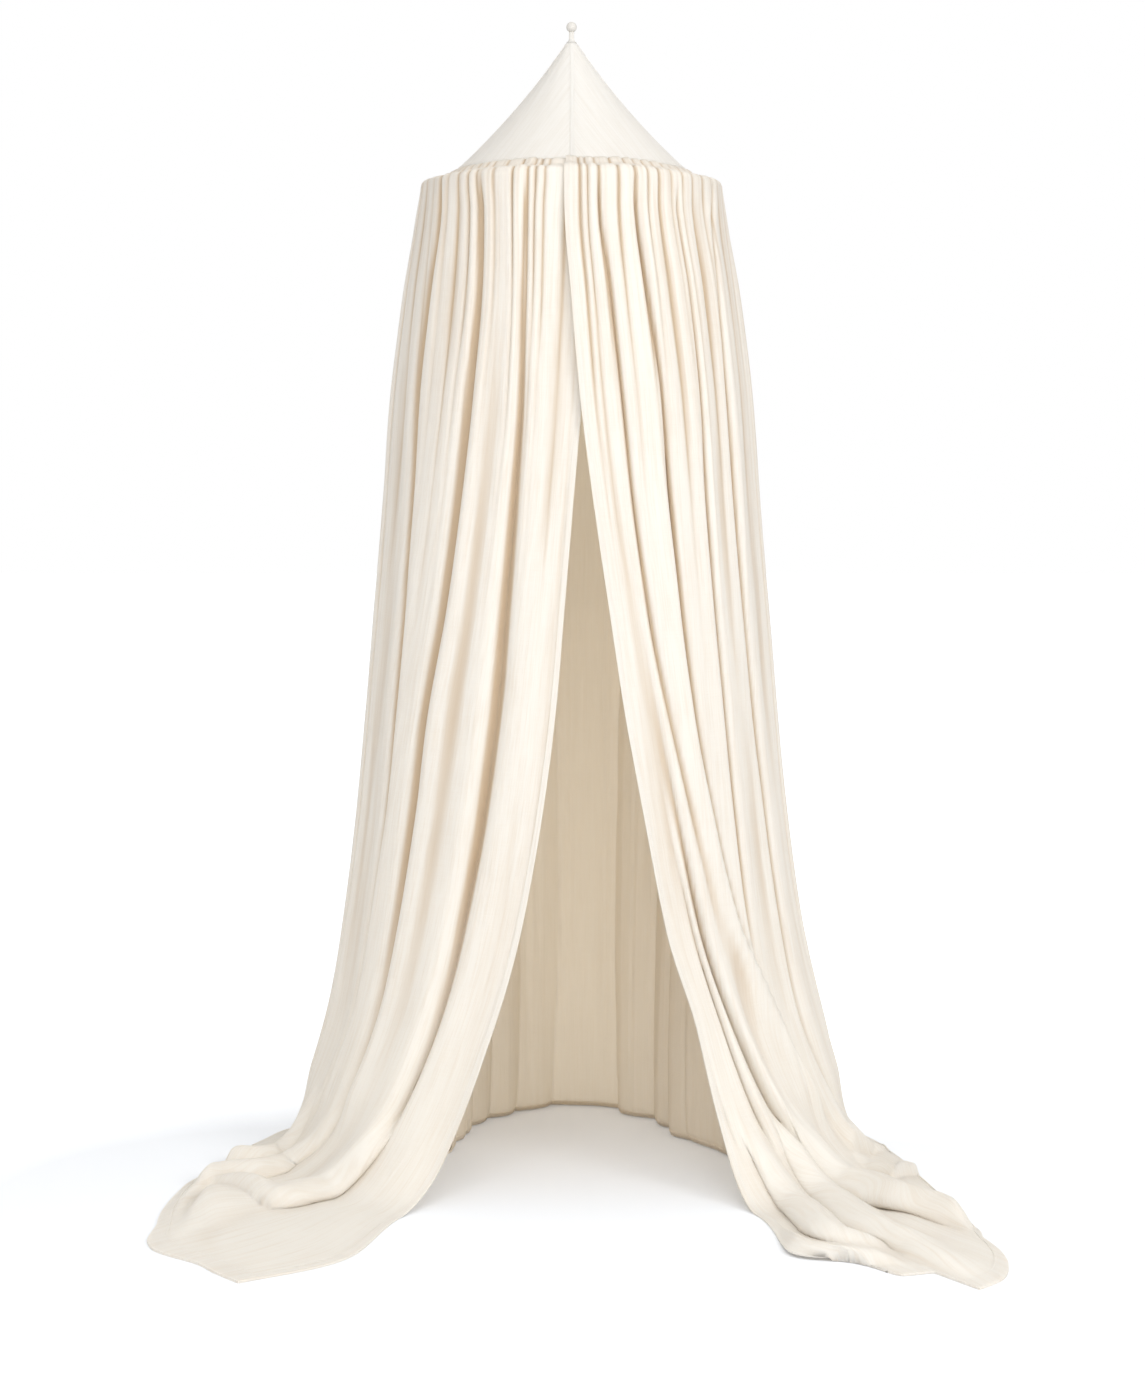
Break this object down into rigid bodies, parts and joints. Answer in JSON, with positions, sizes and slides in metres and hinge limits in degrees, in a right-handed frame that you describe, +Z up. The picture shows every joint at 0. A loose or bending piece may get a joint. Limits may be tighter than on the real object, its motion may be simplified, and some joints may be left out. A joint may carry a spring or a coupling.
{
  "type": "bed canopy",
  "caption": "Hanging cloth bed canopy: conical gored roof on a hidden hoop, gathered full-length curtains parted at the front and pooled on the floor.",
  "frame": {"origin": "top of the bead, on the canopy's vertical centre line, where it hangs; the floor lies 1.89 m below", "axes": "+Z up along the centre line, the opening between the curtains faces -Y, +X to the right seen from the front"},
  "size_m": [1.257, 1.1909, 1.89],
  "materials": {
    "turned_wood": "white painted turned bead",
    "cotton_cord": "braided cotton",
    "washer_steel": "plain steel",
    "roof_cotton": "cream crinkled cotton gauze",
    "cotton_twill": "woven tape",
    "coated_steel": "white coated rod",
    "curtain_cotton": "cream crinkled cotton gauze",
    "back_cotton": "cream crinkled cotton gauze, inner side"
  },
  "bodies": {
    "hanger": {"finial_bead": "turned_wood", "bead_cord": "cotton_cord", "stopper_knot": "cotton_cord"},
    "canopy": {"stopper_washer": "washer_steel", "neck_sleeve": "roof_cotton", "roof_gore_1": "roof_cotton", "roof_gore_2": "roof_cotton", "roof_gore_3": "roof_cotton", "roof_gore_4": "roof_cotton", "seam_tape": "cotton_twill", "hoop_rod_front": "coated_steel", "hoop_rod_back": "coated_steel", "hoop_ferrule_left": "washer_steel", "hoop_ferrule_right": "washer_steel", "hoop_casing": "curtain_cotton", "back_curtain": "back_cotton"},
    "left_leaf": {"left_curtain": "curtain_cotton"},
    "right_leaf": {"right_curtain": "curtain_cotton"}
  },
  "joints": [
    {"name": "canopy_swivel", "type": "hinge", "parent": "hanger", "child": "canopy", "pos_m": [0, 0, 0], "axis": [0, 0, 1], "continuous": true},
    {"name": "left_curtain_draw", "type": "hinge", "parent": "canopy", "child": "left_leaf", "pos_m": [0, 0, -0.275], "axis": [0, 0, -1], "range_deg": [-5, 35]},
    {"name": "right_curtain_draw", "type": "hinge", "parent": "canopy", "child": "right_leaf", "pos_m": [0, 0, -0.275], "axis": [0, 0, 1], "range_deg": [-5, 35]}
  ]
}
